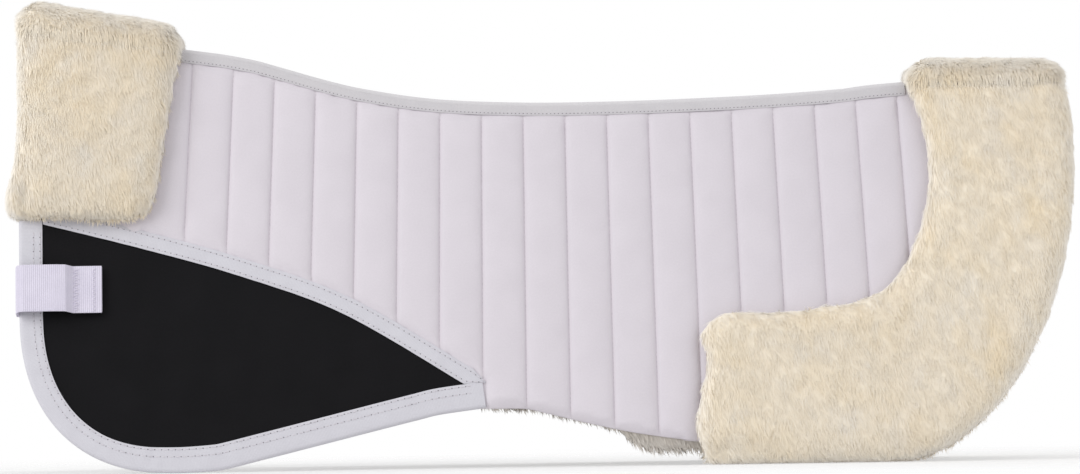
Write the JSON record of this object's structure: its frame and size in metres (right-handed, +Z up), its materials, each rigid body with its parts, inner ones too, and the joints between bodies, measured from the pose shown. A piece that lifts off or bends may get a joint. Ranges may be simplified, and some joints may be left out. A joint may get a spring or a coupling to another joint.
{
  "type": "saddle half pad",
  "caption": "Quilted half pad with faux fur lining and fur trims that folds along its spine, with fabric front flaps and touch-close billet straps.",
  "frame": {"origin": "middle of the bounding box at its base, on the ground between the feet", "axes": "+X towards the rear of the pad, +Y towards its right half, +Z up"},
  "size_m": [0.687, 0.1966, 0.3049],
  "materials": {
    "cream_fur": "deep cream pile",
    "grey_fur": "deep grey-brown pile",
    "white_cotton": "plain weave, matt",
    "wadding": "polyester wadding",
    "foam": "soft open-cell foam",
    "black_nylon": "close weave, slight sheen",
    "white_tape": "flat binding tape",
    "white_webbing": "ribbed webbing",
    "hook_tape": "hook side of touch-close tape",
    "loop_pile": "loop side of touch-close tape"
  },
  "bodies": {
    "spine": {"spine_tape": "white_tape", "spine_facing": "white_tape", "front_crest": "cream_fur", "rear_crest": "cream_fur"},
    "left_half": {"left_quilt_cover": "white_cotton", "left_wadding": "wadding", "left_lining": "grey_fur", "left_flap_panel": "black_nylon", "left_flap_backing": "white_cotton", "left_flap_binding": "white_tape", "left_seam_tape": "white_tape", "left_front_trim": "cream_fur", "left_front_core": "foam", "left_rear_trim": "cream_fur", "left_rear_core": "foam", "left_strap_base": "white_webbing", "left_loop_patch": "loop_pile"},
    "right_half": {"right_quilt_cover": "white_cotton", "right_wadding": "wadding", "right_lining": "grey_fur", "right_flap_panel": "black_nylon", "right_flap_backing": "white_cotton", "right_flap_binding": "white_tape", "right_seam_tape": "white_tape", "right_front_trim": "cream_fur", "right_front_core": "foam", "right_rear_trim": "cream_fur", "right_rear_core": "foam", "right_strap_base": "white_webbing", "right_loop_patch": "loop_pile"},
    "left_strap_tab": {"left_strap": "white_webbing", "left_hook_patch": "hook_tape"},
    "right_strap_tab": {"right_strap": "white_webbing", "right_hook_patch": "hook_tape"}
  },
  "joints": [
    {"name": "left_fold", "type": "hinge", "parent": "spine", "child": "left_half", "pos_m": [0, 0, 0.2598], "axis": [-0.9977, 0, 0.0672], "range_deg": [-12, 40], "deforming": ["spine_tape", "spine_facing", "front_crest", "rear_crest"]},
    {"name": "right_fold", "type": "hinge", "parent": "spine", "child": "right_half", "pos_m": [0, 0, 0.2598], "axis": [0.9977, 0, -0.0672], "range_deg": [-12, 40], "deforming": ["spine_tape", "spine_facing", "front_crest", "rear_crest"]},
    {"name": "left_strap_peel", "type": "hinge", "parent": "left_half", "child": "left_strap_tab", "pos_m": [-0.33595, -0.0634, 0.11648], "axis": [-0.0001, -0.2354, -0.9719], "range_deg": [0, 110]},
    {"name": "right_strap_peel", "type": "hinge", "parent": "right_half", "child": "right_strap_tab", "pos_m": [-0.33595, 0.0634, 0.11648], "axis": [0.0001, -0.2354, 0.9719], "range_deg": [0, 110]}
  ],
  "couplings": [
    {"joint": "right_fold", "follows": "left_fold", "ratio": 1}
  ]
}
